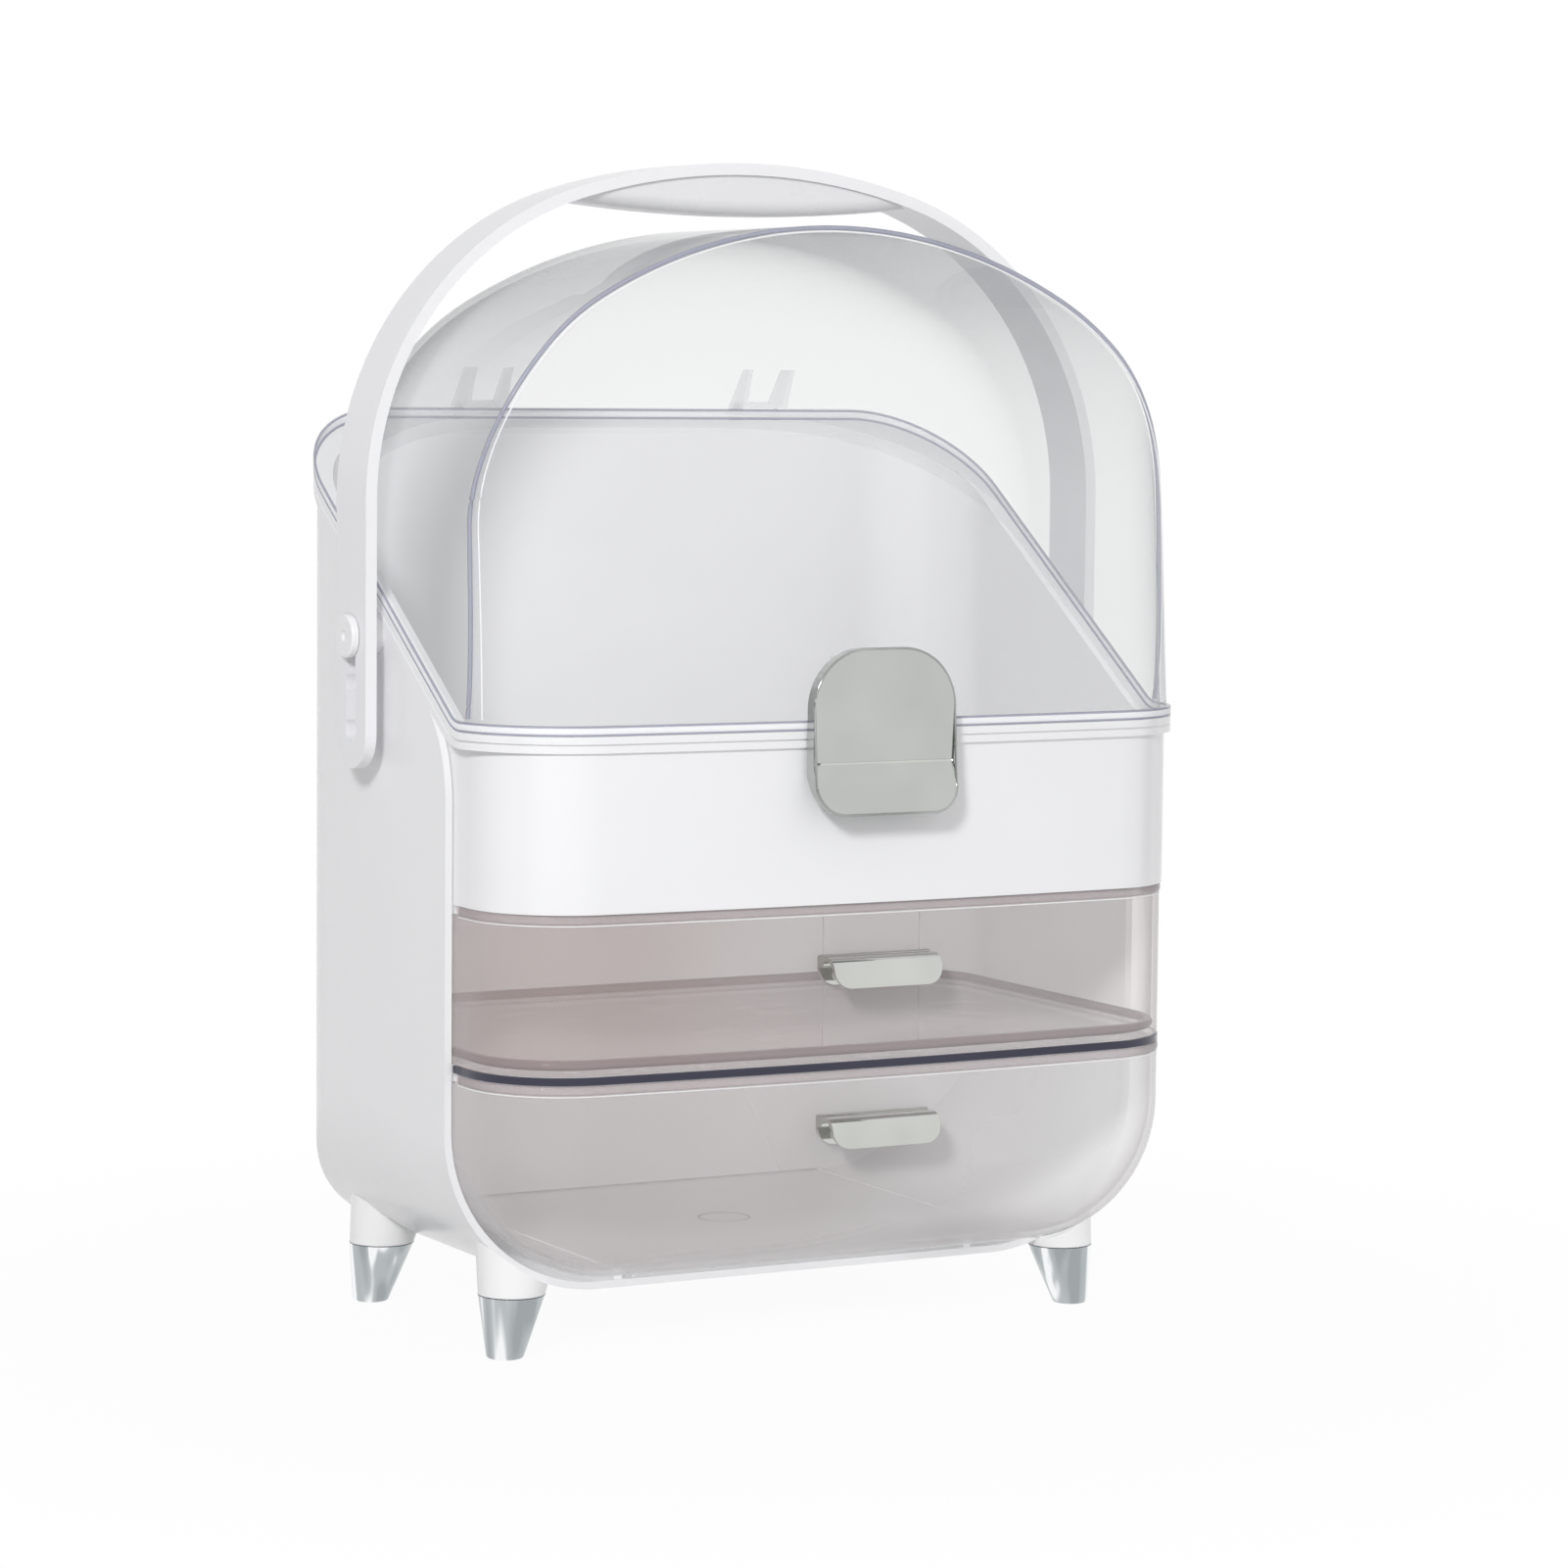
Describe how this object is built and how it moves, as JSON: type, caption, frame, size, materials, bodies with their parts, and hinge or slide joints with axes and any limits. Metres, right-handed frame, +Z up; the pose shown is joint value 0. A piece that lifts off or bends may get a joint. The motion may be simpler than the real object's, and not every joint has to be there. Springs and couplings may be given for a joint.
{
  "type": "makeup organizer with drawers",
  "caption": "Makeup organizer: white shell on splayed feet, bin under a clear arched flip lid with latch, smoky pull-out drawers and a bail handle.",
  "frame": {"origin": "on the floor, under the middle of the whole organizer's bounding box", "axes": "+X to the right seen from the front, -Y to the front with the drawers and latch, +Z up"},
  "size_m": [0.2924, 0.2086, 0.4],
  "materials": {
    "white_plastic": "glossy white moulding",
    "clear_plastic": "clear, polished, with faintly blue edges",
    "smoky_plastic": "smoky transparent, polished",
    "dark_plastic": "dark blue, glossy",
    "chrome": "mirror plated",
    "steel": "plain screws and pins"
  },
  "bodies": {
    "case": {"outer_shell": "white_plastic", "upper_bin": "white_plastic", "divider_shelf": "white_plastic", "shelf_trim": "dark_plastic", "shelf_rail_left": "white_plastic", "shelf_rail_right": "white_plastic", "bin_rail_left": "white_plastic", "bin_rail_right": "white_plastic", "floor_rail_left": "white_plastic", "floor_rail_right": "white_plastic", "foot_cone_front_left": "white_plastic", "foot_cone_front_right": "white_plastic", "foot_cone_back_left": "white_plastic", "foot_cone_back_right": "white_plastic", "foot_cap_front_left": "chrome", "foot_cap_front_right": "chrome", "foot_cap_back_left": "chrome", "foot_cap_back_right": "chrome", "foot_stud_front_left": "steel", "foot_stud_front_right": "steel", "foot_stud_back_left": "steel", "foot_stud_back_right": "steel", "bin_screw_1": "steel", "bin_screw_2": "steel", "bin_screw_3": "steel", "bin_screw_4": "steel", "hinge_block_left": "white_plastic", "hinge_block_right": "white_plastic", "hinge_screw_left": "steel", "hinge_screw_right": "steel", "hinge_pin_left": "steel", "hinge_pin_right": "steel", "pivot_bush_left": "white_plastic", "pivot_bush_right": "white_plastic"},
    "lid": {"lid_hood": "clear_plastic", "hinge_ears_left": "clear_plastic", "hinge_ears_right": "clear_plastic", "latch_lugs": "clear_plastic", "latch_pin": "steel"},
    "latch": {"latch_plate": "chrome"},
    "drawer_upper": {"drawer_tray_upper": "smoky_plastic", "pull_upper": "chrome", "pull_screw_upper_left": "steel", "pull_screw_upper_right": "steel"},
    "drawer_lower": {"drawer_tray_lower": "smoky_plastic", "pull_lower": "chrome", "pull_screw_lower_left": "steel", "pull_screw_lower_right": "steel"},
    "pivot_pins": {"pivot_pin_left": "white_plastic", "pivot_pin_right": "white_plastic"},
    "handle": {"handle_arch": "white_plastic", "grip_belly": "white_plastic"}
  },
  "joints": [
    {"name": "handle_swing", "type": "hinge", "parent": "case", "child": "pivot_pins", "pos_m": [0, 0.0125, 0.2386], "axis": [-1, 0, 0], "range_deg": [0, 135]},
    {"name": "handle_lift", "type": "slide", "parent": "pivot_pins", "child": "handle", "axis": [0, 0, 1], "range_m": [0, 0.031]},
    {"name": "lid_open", "type": "hinge", "parent": "case", "child": "lid", "pos_m": [0, 0.1003, 0.3131], "axis": [-1, 0, 0], "range_deg": [0, 45]},
    {"name": "latch_turn", "type": "hinge", "parent": "lid", "child": "latch", "pos_m": [0, -0.09305, 0.229], "axis": [-1, 0, 0], "range_deg": [0, 35]},
    {"name": "drawer_upper_slide", "type": "slide", "parent": "case", "child": "drawer_upper", "axis": [0, -1, 0], "range_m": [0, 0.12]},
    {"name": "drawer_lower_slide", "type": "slide", "parent": "case", "child": "drawer_lower", "axis": [0, -1, 0], "range_m": [0, 0.12]}
  ],
  "couplings": [
    {"joint": "handle_lift", "follows": "handle_swing", "m_per_rad": 0.013157},
    {"joint": "lid_open", "follows": "handle_swing", "ratio": 0.33333}
  ]
}
